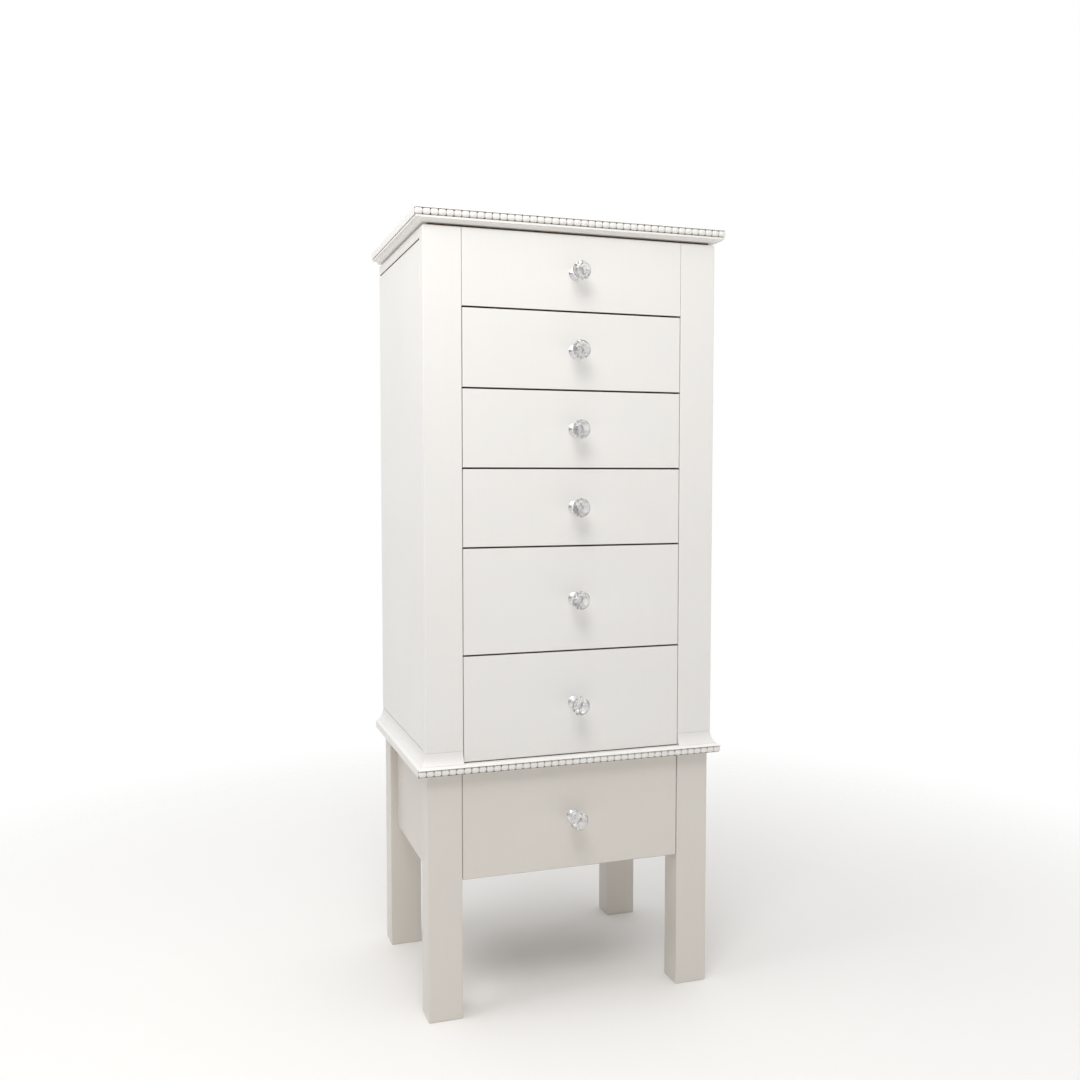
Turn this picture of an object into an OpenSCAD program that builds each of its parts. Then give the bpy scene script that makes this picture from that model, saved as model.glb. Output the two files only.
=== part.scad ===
// Jewelry armoire: a chest on four legs with a hinged mirror lid over a ring well, side panels that
// swing out as necklace cupboards, five drawers in the body and a deeper one in the base.
// Millimetres, +Z up, +X right, -Y front. The origin is on the floor under the middle of the whole box.
// Left-hand pieces are drawn as they are and right-hand pieces are their mirror image.

/* [Overall] */
// Height from the floor to the top of the lid
total_h = 1016; // [1000:1:1040]
// Width of the body over its side panels
body_w = 394; // [390:1:410]
// Depth of the body from its face to its back
body_d = 290; // [288:1:300]
// Thickness of the small joint that stays open around each drawer front and door
seam = 1.7; // [1.2:0.1:1.8]

/* [Base] */
// Height of the base, from the floor to the waist board
base_h = 319; // [310:1:325]
// Width of a leg, across the front
leg_w = 44.5; // [44:0.1:45]
// Depth of a leg, front to back
leg_d = 37; // [34:1:40]
// How far the legs stand in from the body's faces
leg_inset = 3; // [2:0.5:4]
// Height of the underside of the base drawer and the aprons
apron_low = 180.2; // [176:0.2:184]
// Thickness of an apron
apron_t = 12; // [10:1:14]

/* [Waist moulding] */
// How far the waist moulding stands out of the body
waist_out = 10.6; // [9:0.2:12]
// Height of the upright lip of the waist moulding
lip_h = 9.5; // [9:0.5:10]
// Height of the cove that rises from the lip to the body
cove_h = 18.5; // [17:0.5:19]
// Thickness of the waist board, up to the underside of the lowest body drawer
waist_t = 12.7; // [12:0.1:13]

/* [Body] */
// Width of a front stile
stile_w = 48.5; // [47:0.5:49]
// Thickness of the front stiles
stile_t = 18; // [16:1:20]
// Thickness of the walls between the drawers and the side cupboards
wall_t = 6.5; // [6:0.5:7]
// Thickness of the back panel
back_t = 12; // [11:1:14]
// Thickness of the rail over each side panel
rail_t = 12.8; // [12:0.2:14]
// Thickness of the shelves between the drawers
shelf_t = 6; // [5:1:7]

/* [Drawers] */
// Height from seam to seam of the three upper drawers
small_h = 99.4; // [98:0.2:100]
// Height from seam to seam of the two lower drawers
tall_h = 135.6; // [134:0.2:136]
// Thickness of a drawer front
front_t = 14; // [12:1:15]
// Thickness of the sides of a drawer box
box_wall = 8; // [6:1:10]
// Thickness of the bottom of a drawer box
box_floor = 4; // [3:1:6]
// Outside depth of a drawer box
box_d = 244; // [200:1:246]

/* [Side panels] */
// Thickness of a side panel
door_t = 14; // [13:1:15]
// Height of the centres of the upper and the lower row of hooks
hook_rows = [932, 572];
// Distances of the hooks from the free edge of a side panel
hook_places = [58, 116, 175];
// Diameter of the hanging cords
cord_dia = 3; // [2.6:0.1:3.2]

/* [Lid] */
// How far the lid stands out of the body at the front and sides
lid_out = 11; // [10:0.5:12]
// Thickness of the top board of the lid
board_t = 9.7; // [9.5:0.1:10]
// Thickness of the moulded frame under the lid
frame_t = 7.6; // [7.4:0.1:8]
// Width of the opening in the lid frame, over the mirror
mirror_w = 288; // [270:1:300]
// Depth of the opening in the lid frame
mirror_d = 186; // [170:1:190]
// Distance from the front edge of the lid to that opening
mirror_front = 56.5; // [50:0.5:60]

/* [Hardware] */
// Diameter of a crystal knob
crystal_dia = 24.5; // [22:0.5:26]
// Length of the crystal part of a knob
crystal_h = 23; // [20:0.5:24]
// Diameter of the rosette behind a knob
rosette_dia = 17; // [15:0.5:18]
// Radius of a hinge pin
pin_r = 1.1; // [1:0.1:1.2]
// Radius of a hinge knuckle
knuckle_r = 2.4; // [2.3:0.1:2.5]
// Length of a hinge
hinge_len = 40; // [30:1:50]

/* [Hidden] */
$fn = 48;
eps = 0.01;
running = 0.05;      // radial clearance of a hinge leaf on its pin
gap = seam / 2;      // what each of two neighbours gives to a seam
drawer_play = 0.8;   // sideways play of a drawer box between its walls
lift = 0.3;          // play of a drawer box over what it slides on

rosette_h = 3;
neck_h = 7;
knob_out = rosette_h + neck_h + crystal_h;

leaf_t = 0.6;
leaf_w = 11;
leaf_gap = 0.2;                        // between the two leaves of a closed hinge
hinge_gap = 2 * leaf_t + leaf_gap;     // between the two pieces that a hinge joins
hinge_set = 2.9;                       // from the back of those pieces to the hinge axis
hinge_out = hinge_set + knuckle_r;

front_y = knob_out - (knob_out + body_d + hinge_out) / 2;
rear_y = front_y + body_d;
axis_y = rear_y + hinge_set;
half_w = body_w / 2;
open_x = half_w - stile_w;             // half the width of the drawer opening
door_x = half_w - door_t;              // inner face of a side panel
wall_x = open_x - wall_t;              // inner face of a drawer wall
edge_x = door_x - hinge_gap;           // edge of the back panel, beside a side panel
back_y = rear_y - back_t;
wall_front = front_y + front_t + 0.4;

waist_top = base_h + waist_t;
sill_top = base_h + lip_h + cove_h;
lid_low = total_h - board_t - frame_t;
body_top = lid_low - hinge_gap;
door_low = sill_top + 1;
door_high = body_top - rail_t - 1.6;
door_front = front_y + stile_t + 0.5;
well_z = waist_top + 2 * tall_h + 3 * small_h;

bead_dia = 7.8;
bead_set = 5;                          // how far a row of beads is let into its board
groove = 1.0;                          // height of the shadow line in the lid's edge
rebate_w = 6;                          // rebate under the edges of the lid frame
rebate_h = 1.8;
door_hinge_z = [430, 880];
lid_hinge_x = [-120, 80];
catch_y = door_front + 49;
catch_z = door_high - 7.5;

cord_x = -door_x + 5;                  // the cords' plane, a little off the panel
cord_hook_z = 773;                     // height of the screws of the upper cord
cord_drop = 284;                       // from the upper cord to the lower cord
// Route of the upper cord: distance from the hinge edge of the panel, and height
cord_route = [
    [228, 760], [227.5, 754], [226, 747], [222.5, 740], [217, 734.5], [209, 729], [199, 723.5],
    [187, 717.5], [174, 711], [160, 704], [146, 697.5], [133, 693], [120, 690.5], [107, 690],
    [94, 692], [81, 696.5], [68, 702.5], [55, 710], [44, 718], [34.5, 727], [27, 737],
    [22.5, 747], [21.2, 754], [21, 760]
];

DRAWERS = [1, 2, 3, 4, 5, 6];

lacquer = [0.95, 0.94, 0.92];
shade = [0.84, 0.81, 0.77];
chrome = [0.75, 0.76, 0.78];
gold = [0.8, 0.62, 0.35];

// Height of the underside of body drawer n; n = 0 gives the seam over the top drawer
function seam_z(n) = waist_top + (n > 3 ? (5 - n) * tall_h : 2 * tall_h + (3 - n) * small_h);
// Lower and upper seam of a drawer front, the base drawer being number 6
function front_low(n) = n == 6 ? apron_low - gap : seam_z(n);
function front_high(n) = n == 6 ? base_h - gap : seam_z(n - 1);
// Front face of drawer n
function face_y(n) = n == 6 ? front_y + leg_inset + 1 : front_y;
// Underside and height of the box of drawer n
function box_low(n) = n == 6 ? apron_low + 6.8 + lift : seam_z(n) + lift;
function box_h(n) = n == 6 || n > 3 ? 108 : 78;
// Radius of an arc that leaves a wall along it and stands out by reach after a height of rise
function cove_r(reach, rise) = (reach * reach + rise * rise) / (2 * reach);

// A block between two corners
module block(low, high) {
    translate(low) cube(high - low);
}

// Left-hand pieces are drawn as they are, right-hand pieces are mirrored
module hand(right) {
    mirror([right ? 1 : 0, 0, 0]) children();
}

// A board whose section is drawn with its height along Y, made at the front and both sides:
// child 0 is the section across the width, child 1 is the section from front to back
module moulded_board(z) {
    translate([0, 0, z]) intersection() {
        translate([0, rear_y, 0]) rotate([90, 0, 0]) linear_extrude(body_d + 40) children(0);
        translate([-body_w, 0, 0]) rotate([90, 0, 90]) linear_extrude(2 * body_w) children(1);
    }
}

// The whole waist moulding: an upright lip, then a cove that runs up to the body
module waist_moulding() {
    r = cove_r(waist_out, cove_h);
    h = lip_h + cove_h;
    moulded_board(base_h) {
        difference() {
            translate([-half_w - waist_out, 0]) square([body_w + 2 * waist_out, h]);
            for (s = [-1, 1]) translate([s * (half_w + r), h]) circle(r, $fn = 96);
        }
        difference() {
            translate([front_y - waist_out, 0]) square([body_d + waist_out, h]);
            translate([front_y - r, h]) circle(r, $fn = 96);
        }
    }
}

// A row of beads as one half-round bar along the front, with its back at y and its middle at z
module bead_bar(half_len, y, z) {
    color(lacquer) intersection() {
        translate([-half_len, y, z]) rotate([0, 90, 0]) cylinder(r = bead_set, h = 2 * half_len);
        block([-half_len, y - bead_set, z - bead_dia / 2], [half_len, y, z + bead_dia / 2]);
    }
}

// ---- Base ----

module leg(right, rear) {
    y = rear ? rear_y - leg_inset - leg_d : front_y + leg_inset;
    x = -half_w + leg_inset;
    color(shade) hand(right) block([x, y, 0], [x + leg_w, y + leg_d, base_h]);
}

module apron(right) {
    x = -half_w + leg_inset + 10;
    color(shade) hand(right)
        block([x, front_y + leg_inset + leg_d, apron_low], [x + apron_t, rear_y - leg_inset - leg_d, base_h]);
}

module apron_rear() {
    x = half_w - leg_inset - leg_w;
    y = rear_y - leg_inset - 5;
    color(shade) block([-x, y - apron_t, apron_low], [x, y, base_h]);
}

// A ledge under each edge of the base drawer, with a fence that guides it
module base_runners() {
    x = -half_w + leg_inset + 10 + apron_t;
    fence = -wall_x - 1;
    y0 = front_y + leg_inset + leg_d;
    y1 = rear_y - leg_inset - leg_d;
    color(lacquer) for (right = [false, true]) hand(right) {
        block([x, y0, apron_low + 0.8], [x + 42, y1, apron_low + 6.8]);
        block([fence - 6, y0, apron_low + 6], [fence, y1, apron_low + 32]);
    }
}

module waist_board() {
    color(lacquer) difference() {
        intersection() {
            waist_moulding();
            block([-body_w, -body_d, base_h], [body_w, body_d, waist_top]);
        }
        block([-body_w, -body_d, base_h - 1], [body_w, front_y - waist_out + bead_set, base_h + lip_h - 0.5]);
    }
}

module waist_beading() {
    bead_bar(half_w + waist_out, front_y - waist_out + bead_set - eps, base_h + lip_h - 0.5 - bead_dia / 2);
}

// The upper part of the waist moulding at each side, which is the floor of the side cupboard
module sill(right) {
    color(lacquer) hand(right) intersection() {
        waist_moulding();
        block([-body_w, -body_d, waist_top], [-open_x, body_d, sill_top]);
    }
}

// ---- Body ----

module stile(right) {
    color(lacquer) hand(right)
        block([-half_w, front_y, sill_top], [-open_x, front_y + stile_t, body_top]);
}

// The fixed front of the ring well
module top_panel() {
    color(lacquer) block([-open_x + 0.4, front_y, well_z + gap], [open_x - 0.4, wall_front, body_top]);
}

module drawer_wall(right) {
    color(lacquer) hand(right) block([-open_x, wall_front, waist_top], [-wall_x, back_y, body_top]);
}

// The back panel is wider between the side sills and the top rails, where it carries the hinges
module back_panel() {
    color(lacquer) {
        block([-open_x, back_y, waist_top], [open_x, rear_y, body_top]);
        block([-edge_x, back_y, sill_top], [edge_x, rear_y, body_top - rail_t]);
    }
}

module top_rails() {
    color(lacquer) for (right = [false, true]) hand(right)
        block([-half_w, front_y + stile_t, body_top - rail_t], [-open_x, rear_y, body_top]);
}

// Four shelves under the drawers and the floor of the ring well
module shelves() {
    color(lacquer) for (n = [0:4])
        block([-wall_x, wall_front, seam_z(n) - shelf_t], [wall_x, back_y, seam_z(n)]);
}

// The rolled cushion for rings, at the front of the well
module ring_cushion() {
    color("lavender")
        block([-wall_x + 1, wall_front + 1, well_z + 0.2], [wall_x - 1, wall_front + 130, well_z + 38]);
}

// ---- Lid ----

// Section of the lid frame over a body that spans lo..hi, with a cove under each moulded edge and
// a shallow rebate that leaves a shadow line over the body
module frame_section(lo, hi, left_edge, right_edge) {
    r = cove_r(lid_out - 1.8, 4.8);
    difference() {
        translate([lo - (left_edge ? lid_out - 1 : 0), 0])
            square([hi - lo + (left_edge ? lid_out - 1 : 0) + (right_edge ? lid_out - 1 : 0), frame_t]);
        if (left_edge) {
            translate([lo - 0.8 - r, 0]) circle(r);
            translate([lo - 2, -eps]) square([2 + rebate_w, rebate_h]);
        }
        if (right_edge) {
            translate([hi + 0.8 + r, 0]) circle(r);
            translate([hi - rebate_w, -eps]) square([2 + rebate_w, rebate_h]);
        }
    }
}

module lid_frame() {
    y0 = front_y - lid_out + mirror_front;
    color(lacquer) difference() {
        moulded_board(lid_low) {
            frame_section(-half_w, half_w, true, true);
            frame_section(front_y, rear_y, true, false);
        }
        block([-mirror_w / 2, y0, lid_low - 1], [mirror_w / 2, y0 + mirror_d, total_h]);
        block([-mirror_w / 2 - 4, y0 - 4, lid_low + 4.4], [mirror_w / 2 + 4, y0 + mirror_d + 4, total_h]);
    }
}

module lid_board() {
    x = half_w + lid_out;
    y = front_y - lid_out;
    z = lid_low + frame_t;
    color(lacquer) difference() {
        block([-x, y, z], [x, rear_y, total_h]);
        difference() {
            block([-x - 1, y - 1, z - 1], [x + 1, rear_y + 1, z + groove]);
            block([-x + 2, y + 2, z - 2], [x - 2, rear_y + 2, z + groove + 1]);
        }
        block([-x - 1, y - 1, z - 1], [x + 1, y + bead_set, z + groove + bead_dia]);
    }
}

module lid_beading() {
    bead_bar(half_w + lid_out, front_y - lid_out + bead_set - eps, lid_low + frame_t + groove + bead_dia / 2);
}

module mirror_plate() {
    x = mirror_w / 2 + 3.5;
    y0 = front_y - lid_out + mirror_front - 3.5;
    y1 = y0 + mirror_d + 7;
    color("lightsteelblue") block([-x, y0, lid_low + 4.4], [x, y1, lid_low + 7.4]);
}

// ---- Hinges: the axis is Z, the moving piece lies towards -X and both leaves run towards -Y ----

module hinge_knuckles(from, to, x, bore) {
    difference() {
        union() {
            translate([0, 0, from]) cylinder(r = knuckle_r, h = to - from);
            block([x, -hinge_set - 1, from], [x + leaf_t, -1, to]);
        }
        translate([0, 0, from - 1]) cylinder(r = bore, h = to - from + 2);
    }
}

// The fixed half: a leaf on the cabinet with the two outer knuckles
module hinge_plate() {
    third = hinge_len / 3;
    block([leaf_gap / 2, -hinge_set - leaf_w, 0], [leaf_gap / 2 + leaf_t, -hinge_set, hinge_len]);
    hinge_knuckles(0, third, leaf_gap / 2, pin_r + 0.02);
    hinge_knuckles(2 * third, hinge_len, leaf_gap / 2, pin_r + 0.02);
}

// The moving half: a leaf with the middle knuckle
module hinge_leaf() {
    third = hinge_len / 3;
    block([-leaf_gap / 2 - leaf_t, -hinge_set - leaf_w, 0], [-leaf_gap / 2, -hinge_set, hinge_len]);
    hinge_knuckles(third + 0.3, 2 * third - 0.3, -leaf_gap / 2 - leaf_t, pin_r + running);
}

module hinge_pin() {
    cylinder(r = pin_r, h = hinge_len);
    translate([0, 0, hinge_len + eps]) cylinder(r = 2, h = 0.9);
    translate([0, 0, hinge_len - 1]) cylinder(r = pin_r, h = 1.5);
}

// Places for the two hinges of a side panel, in the left-hand frame
module at_door_hinges() {
    for (z = door_hinge_z) translate([-door_x + hinge_gap / 2, axis_y, z]) children();
}

// Places for the two hinges of the lid
module at_lid_hinges() {
    for (x = lid_hinge_x) translate([x, axis_y, body_top + hinge_gap / 2]) rotate([0, 90, 0]) children();
}

module hinge_plates() {
    color(chrome) {
        for (right = [false, true]) hand(right) at_door_hinges() hinge_plate();
        at_lid_hinges() hinge_plate();
    }
}

module hinge_pins() {
    color(chrome) {
        for (right = [false, true]) hand(right) at_door_hinges() hinge_pin();
        at_lid_hinges() hinge_pin();
    }
}

module lid_hinge_leaves() {
    color(chrome) at_lid_hinges() hinge_leaf();
}

module hinge_leaves(right) {
    color(chrome) hand(right) at_door_hinges() hinge_leaf();
}

// ---- Side panels ----

module door(right) {
    color(lacquer) hand(right) block([-half_w, door_front, door_low], [-door_x, rear_y, door_high]);
}

// A small double hook on a pill-shaped plate, standing out along X from the origin
module hook() {
    plate_w = 9;
    plate_h = 23;
    straight = plate_h - plate_w;
    block([0, -plate_w / 2, -straight / 2], [2, plate_w / 2, straight / 2]);
    for (s = [-1, 1]) translate([0, 0, s * straight / 2]) rotate([0, 90, 0]) cylinder(d = plate_w, h = 2);
    translate([1, 0, 5]) rotate([0, 48, 0]) {
        cylinder(r = 1.5, h = 16);
        translate([0, 0, 16]) sphere(2.2);
    }
    translate([1, 0, -8]) rotate([0, 90, 0]) cylinder(r = 1.5, h = 9.5);
    translate([10.5, 0, -8]) sphere(1.5);
    translate([10.5, 0, -8]) cylinder(r = 1.5, h = 6);
    translate([10.5, 0, -2]) sphere(2);
}

module hooks(right) {
    color(chrome) hand(right) for (z = hook_rows, u = hook_places)
        translate([-door_x, door_front + u, z]) hook();
}

// A cord end: a round-headed screw in the panel that holds a dark sleeve, ending where the cord starts
module cord_end() {
    rotate([0, 90, 0]) cylinder(r = 3.5, h = 1.2);
    rotate([0, 90, 0]) cylinder(r = 1.3, h = 5);
    translate([5, 0, 0]) sphere(2.7);
    translate([5, 0, 760 - cord_hook_z]) cylinder(r = 2, h = cord_hook_z - 760);
}

// Strike plate for the catch, and the ends of both cords
module fittings(right) {
    color(chrome) hand(right) {
        translate([-door_x, catch_y, catch_z]) {
            block([0, -13, -5.5], [1.4, 13, 5.5]);
            for (s = [-1, 1]) translate([0, s * 13, 0]) rotate([0, 90, 0]) cylinder(r = 5.5, h = 1.4);
        }
        for (drop = [0, cord_drop], k = [0, len(cord_route) - 1])
            translate([-door_x, rear_y - cord_route[k][0], cord_hook_z - drop]) cord_end();
    }
}

// Point on a smooth curve through the route, between points i and i + 1
function route_at(i) = cord_route[max(0, min(len(cord_route) - 1, i))];
function between(i, t) =
    let (a = route_at(i - 1), b = route_at(i), c = route_at(i + 1), d = route_at(i + 2))
    0.5 * (2 * b + (c - a) * t + (2 * a - 5 * b + 4 * c - d) * t * t + (3 * b - a - 3 * c + d) * t * t * t);
function route_points() = concat(
    [for (i = [0:len(cord_route) - 2], t = [0, 0.5]) between(i, t)], [route_at(len(cord_route) - 1)]);

// A closed tube along a route that lies in a plane across X
module tube(route, x, drop, r) {
    n = len(route);
    sides = 8;
    dir = [for (i = [0:n - 1])
        let (d = i == 0 || i == n - 1 ? [0, i == 0 ? -1 : 1] : route[i + 1] - route[i - 1]) d / norm(d)];
    points = [for (i = [0:n - 1], k = [0:sides - 1])
        let (a = 360 * k / sides, across = [-dir[i][1], dir[i][0]])
        [x + r * cos(a), rear_y - route[i][0] - r * sin(a) * across[0],
         route[i][1] - drop + r * sin(a) * across[1]]];
    walls = [for (i = [0:n - 2], k = [0:sides - 1])
        let (j = (k + 1) % sides) [i * sides + k, i * sides + j, (i + 1) * sides + j, (i + 1) * sides + k]];
    near_end = [[for (k = [0:sides - 1]) sides - 1 - k]];
    far_end = [[for (k = [0:sides - 1]) (n - 1) * sides + k]];
    polyhedron(points, concat(walls, near_end, far_end));
}

module cord(right, lower) {
    color(gold) hand(right) tube(route_points(), cord_x, lower ? cord_drop : 0, cord_dia / 2);
}

// Catch blocks with magnets under the top rails
module magnet_catches() {
    color("ivory") for (right = [false, true]) hand(right)
        block([-door_x + 1.8, catch_y - 18, catch_z - 6.5], [-door_x + 18, catch_y + 18, body_top - rail_t]);
}

// ---- Drawers and knobs ----

module drawer_front(n) {
    x = open_x - (n == 6 ? -0.3 : gap);
    color(n == 6 ? shade : lacquer)
        block([-x, face_y(n), front_low(n) + gap], [x, face_y(n) + front_t, front_high(n) - gap]);
}

module drawer_box(n) {
    x = wall_x - drawer_play;
    y = face_y(n) + front_t;
    z = box_low(n);
    depth = n == 6 ? 232 : box_d;
    color(lacquer) difference() {
        block([-x, y, z], [x, y + depth, z + box_h(n)]);
        block([-x + box_wall, y + box_wall, z + box_floor],
              [x - box_wall, y + depth - box_wall, z + box_h(n) + 1]);
    }
}

// A crystal knob on its rosette, standing out towards -Y from a front at y
module knob(y, z) {
    r = crystal_dia / 2;
    translate([0, y, z]) rotate([90, 0, 0]) {
        color(chrome) {
            cylinder(d = rosette_dia, h = rosette_h);
            cylinder(r = 4.5, h = rosette_h + neck_h - 0.05);
        }
        color("azure") translate([0, 0, rosette_h + neck_h])
            rotate_extrude() polygon([[0, 0], [6, 0], [r, 13], [r, 16], [7.5, crystal_h], [0, crystal_h]]);
    }
}

module drawer_knob(n) {
    knob(face_y(n), (front_low(n) + front_high(n)) / 2);
}

leg(false, false);  // leg_front_left
leg(true, false);  // leg_front_right
leg(false, true);  // leg_rear_left
leg(true, true);  // leg_rear_right
apron(false);  // apron_left
apron(true);  // apron_right
apron_rear();
base_runners();
waist_board();
waist_beading();
sill(false);  // sill_left
sill(true);  // sill_right
stile(false);  // stile_left
stile(true);  // stile_right
top_panel();
knob(front_y, (well_z + body_top) / 2);  // knob_top
drawer_wall(false);  // drawer_wall_left
drawer_wall(true);  // drawer_wall_right
back_panel();
top_rails();
shelves();
ring_cushion();
hinge_plates();
hinge_pins();
magnet_catches();
lid_board();
lid_frame();
lid_beading();
mirror_plate();  // mirror
lid_hinge_leaves();
door(false);  // door_left
hooks(false);  // hooks_left
fittings(false);  // fittings_left
cord(false, false);  // cord_upper_left
cord(false, true);  // cord_lower_left
hinge_leaves(false);  // hinge_leaves_left
door(true);  // door_right
hooks(true);  // hooks_right
fittings(true);  // fittings_right
cord(true, false);  // cord_upper_right
cord(true, true);  // cord_lower_right
hinge_leaves(true);  // hinge_leaves_right
for (n = DRAWERS) {
    drawer_front(n);
    drawer_box(n);
    drawer_knob(n);
}
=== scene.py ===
"""Looks of a white jewelry armoire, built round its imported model.

Everything is in metres in the model's own frame: +Z up, +X right, -Y out of the drawer fronts. Each
sub-assembly is a class that makes its pieces and gives them their finishes. The model keeps the sizes.
"""

import logging
import math
from collections.abc import Callable, Sequence
from dataclasses import dataclass, field
from enum import Enum

import bmesh
import bpy
from mathutils import Matrix, Vector, noise


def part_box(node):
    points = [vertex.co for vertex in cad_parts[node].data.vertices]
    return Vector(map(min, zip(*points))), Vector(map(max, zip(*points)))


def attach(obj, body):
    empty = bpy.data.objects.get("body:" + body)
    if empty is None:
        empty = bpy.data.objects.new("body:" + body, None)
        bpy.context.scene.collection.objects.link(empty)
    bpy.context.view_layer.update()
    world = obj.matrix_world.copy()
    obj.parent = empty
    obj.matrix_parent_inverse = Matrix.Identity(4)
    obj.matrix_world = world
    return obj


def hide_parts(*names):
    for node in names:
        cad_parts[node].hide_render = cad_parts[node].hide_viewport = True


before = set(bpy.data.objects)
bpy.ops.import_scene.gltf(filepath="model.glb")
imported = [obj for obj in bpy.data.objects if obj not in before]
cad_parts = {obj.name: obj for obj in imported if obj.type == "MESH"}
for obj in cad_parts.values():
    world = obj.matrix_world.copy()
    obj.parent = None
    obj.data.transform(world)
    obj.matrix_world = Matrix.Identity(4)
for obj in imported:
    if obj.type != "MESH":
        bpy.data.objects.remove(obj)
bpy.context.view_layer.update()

LOG = logging.getLogger("armoire")
MM = 0.001
Colour = tuple[float, float, float, float]
Point = Sequence[float]


class Hand(Enum):
    """Which side of the armoire a piece belongs to, as the sign of X."""

    LEFT = -1
    RIGHT = 1

    @property
    def word(self) -> str:
        """The side's name in node and body names."""
        return self.name.lower()

    @property
    def place(self) -> Matrix:
        """The transform that takes a left-hand shape to this side."""
        return Matrix.Diagonal((-self.value, 1, 1, 1))


class Facing(Enum):
    """Directions that screw heads face."""

    BACK = (0.0, 1.0, 0.0)
    RIGHT = (1.0, 0.0, 0.0)
    LEFT = (-1.0, 0.0, 0.0)


def srgb(red: float, green: float, blue: float) -> Colour:
    """A display colour from 0 to 255 as linear light."""

    def linear(level: float) -> float:
        """One channel as linear light."""
        level /= 255
        return level / 12.92 if level <= 0.04045 else ((level + 0.055) / 1.055) ** 2.4

    return (linear(red), linear(green), linear(blue), 1.0)


# ---------------------------------------------------------------- node trees


class Value:
    """A socket of a node tree that takes part in Python arithmetic."""

    def __init__(self, tree: "Tree", socket: bpy.types.NodeSocket) -> None:
        """Wraps an output socket of tree."""
        self.tree = tree
        self.socket = socket

    def maths(self, operation: str, first: "Value | float", second: "Value | float" = 0.0) -> "Value":
        """A Math node on two values.

        Args:
            operation: The Math node's operation.
            first: Its first value.
            second: Its second value.

        Returns:
            The node's result.
        """
        return self.tree.node("ShaderNodeMath", {"operation": operation}, {0: first, 1: second})

    def __add__(self, other: "Value | float") -> "Value":
        """self + other."""
        return self.maths("ADD", self, other)

    def __radd__(self, other: float) -> "Value":
        """other + self."""
        return self.maths("ADD", other, self)

    def __sub__(self, other: "Value | float") -> "Value":
        """self - other."""
        return self.maths("SUBTRACT", self, other)

    def __rsub__(self, other: float) -> "Value":
        """other - self."""
        return self.maths("SUBTRACT", other, self)

    def __mul__(self, other: "Value | float") -> "Value":
        """self * other."""
        return self.maths("MULTIPLY", self, other)

    def __rmul__(self, other: float) -> "Value":
        """other * self."""
        return self.maths("MULTIPLY", other, self)

    def __pow__(self, other: "Value | float") -> "Value":
        """self ** other."""
        return self.maths("POWER", self, other)

    def __abs__(self) -> "Value":
        """The value without its sign."""
        return self.maths("ABSOLUTE", self)


class Tree:
    """A node tree that is built one node at a time."""

    def __init__(self, tree: bpy.types.NodeTree) -> None:
        """Starts from an empty tree."""
        self.tree = tree
        self.tree.nodes.clear()

    def node(
        self,
        kind: str,
        settings: dict[str, object] | None = None,
        values: dict[int | str, object] | None = None,
        out: int | str = 0,
    ) -> Value:
        """Adds a node.

        Args:
            kind: The node's type.
            settings: Its properties, set first; "stops" fills a colour ramp with (place, colour) pairs.
            values: What its input sockets hold or are linked to, by index or name.
            out: The output socket to return, by index or name.

        Returns:
            The output as a Value.
        """
        node = self.tree.nodes.new(kind)
        for name, setting in (settings or {}).items():
            if name == "stops":
                self._fill_ramp(node.color_ramp, setting)
            else:
                setattr(node, name, setting)
        for key, value in (values or {}).items():
            if isinstance(value, Value):
                self.tree.links.new(value.socket, node.inputs[key])
            else:
                node.inputs[key].default_value = value
        return Value(self, node.outputs[out] if node.outputs else None)

    @staticmethod
    def _fill_ramp(ramp: bpy.types.ColorRamp, stops: Sequence[tuple[float, Colour]]) -> None:
        """Sets the stops of a colour ramp."""
        while len(ramp.elements) < len(stops):
            ramp.elements.new(0.5)
        for element, (place, colour) in zip(ramp.elements, stops):
            element.position = place
            element.color = colour


class Shader(Tree):
    """The node tree of a material."""

    def __init__(self, name: str) -> None:
        """Makes a material called name with an empty tree."""
        self.material = bpy.data.materials.new(name)
        self.material.use_nodes = True
        super().__init__(self.material.node_tree)
        self.place = self.node("ShaderNodeTexCoord", out="Object")

    def noise(
        self, scale: float, detail: float = 2.0, where: Value | None = None, rough: float = 0.5
    ) -> Value:
        """Noise over the object's own coordinates.

        Args:
            scale: Features in each metre.
            detail: Octaves of finer noise.
            where: Coordinates to use in place of the object's own.
            rough: Weight of the finer noise.

        Returns:
            The noise, about 0.5 on average.
        """
        values = {"Vector": where or self.place, "Scale": scale, "Detail": detail, "Roughness": rough}
        return self.node("ShaderNodeTexNoise", None, values)

    def mix(self, factor: Value | float, first: Value | Colour, second: Value | Colour) -> Value:
        """A colour between first and second."""
        settings = {"data_type": "RGBA", "clamp_factor": True}
        return self.node("ShaderNodeMix", settings, {0: factor, 6: first, 7: second}, out=2)

    def stretched(self, scale: Point) -> Value:
        """The object's coordinates, scaled by axis."""
        return self.node("ShaderNodeMapping", None, {"Vector": self.place, "Scale": scale})

    def bump(self, height: Value, distance: float, strength: float = 1.0) -> Value:
        """A normal that follows a height map.

        Args:
            height: The map, from 0 to 1.
            distance: The height in metres that 1 stands for.
            strength: Weight of the effect.

        Returns:
            The normal.
        """
        return self.node(
            "ShaderNodeBump", None, {"Strength": strength, "Distance": distance, "Height": height}
        )

    def finish(self, values: dict[str, object]) -> bpy.types.Material:
        """Ends the tree in a Principled shader with these values.

        Args:
            values: The shader's sockets by name.

        Returns:
            The material.
        """
        surface = self.node("ShaderNodeBsdfPrincipled", None, values)
        self.node("ShaderNodeOutputMaterial", None, {"Surface": surface})
        return self.material


# ---------------------------------------------------------------- finishes


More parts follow.
